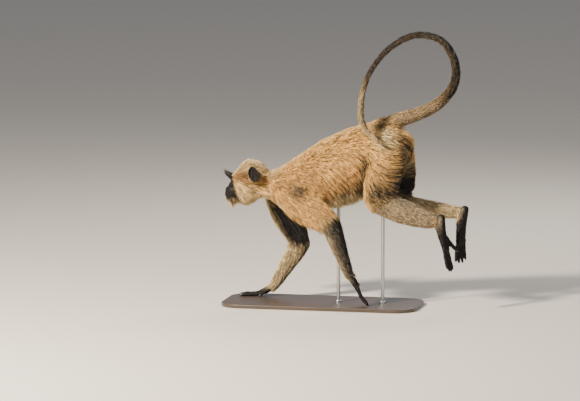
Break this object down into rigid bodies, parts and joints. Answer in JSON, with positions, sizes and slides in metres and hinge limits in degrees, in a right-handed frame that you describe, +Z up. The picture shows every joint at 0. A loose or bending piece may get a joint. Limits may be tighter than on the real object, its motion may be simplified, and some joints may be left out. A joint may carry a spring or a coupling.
{
  "type": "grey langur monkey model",
  "caption": "Life-size still model of a grey langur monkey in mid-bound, tail looped over its back, held on rods above a flat base.",
  "frame": {"origin": "under the middle of the whole, on the floor under the base", "axes": "+Z up; the monkey faces -X, and its left side is -Y"},
  "size_m": [0.822, 0.27, 0.9266],
  "materials": {
    "coat_gold": "fine golden-buff hair lying back along the body",
    "coat_pale": "cream hair of the crown, cheeks, whiskers and belly",
    "coat_grey": "short grey-buff hair of the limbs and tail",
    "bare_skin": "black wrinkled skin, dull with a slight sheen",
    "eye": "wet brown eye with a dark pupil",
    "stand_board": "dark stained board with a softened edge",
    "stand_rod": "brushed"
  },
  "bodies": {
    "root": {"chest": "coat_gold", "belly": "coat_gold", "rump": "coat_gold", "neck": "coat_gold", "head": "coat_pale", "left_eye": "eye", "left_ear": "bare_skin", "right_eye": "eye", "right_ear": "bare_skin", "left_upper_arm": "coat_gold", "left_forearm": "coat_grey", "left_hand": "bare_skin", "left_thigh": "coat_gold", "left_shank": "coat_grey", "left_foot": "bare_skin", "right_upper_arm": "coat_gold", "right_forearm": "coat_grey", "right_hand": "bare_skin", "right_thigh": "coat_gold", "right_shank": "coat_grey", "right_foot": "bare_skin", "tail_1": "coat_grey", "tail_2": "coat_grey", "tail_3": "coat_grey", "tail_4": "coat_grey", "tail_5": "coat_grey", "stand_base": "stand_board", "stand_rod_front": "stand_rod", "stand_rod_rear": "stand_rod"}
  },
  "joints": []
}
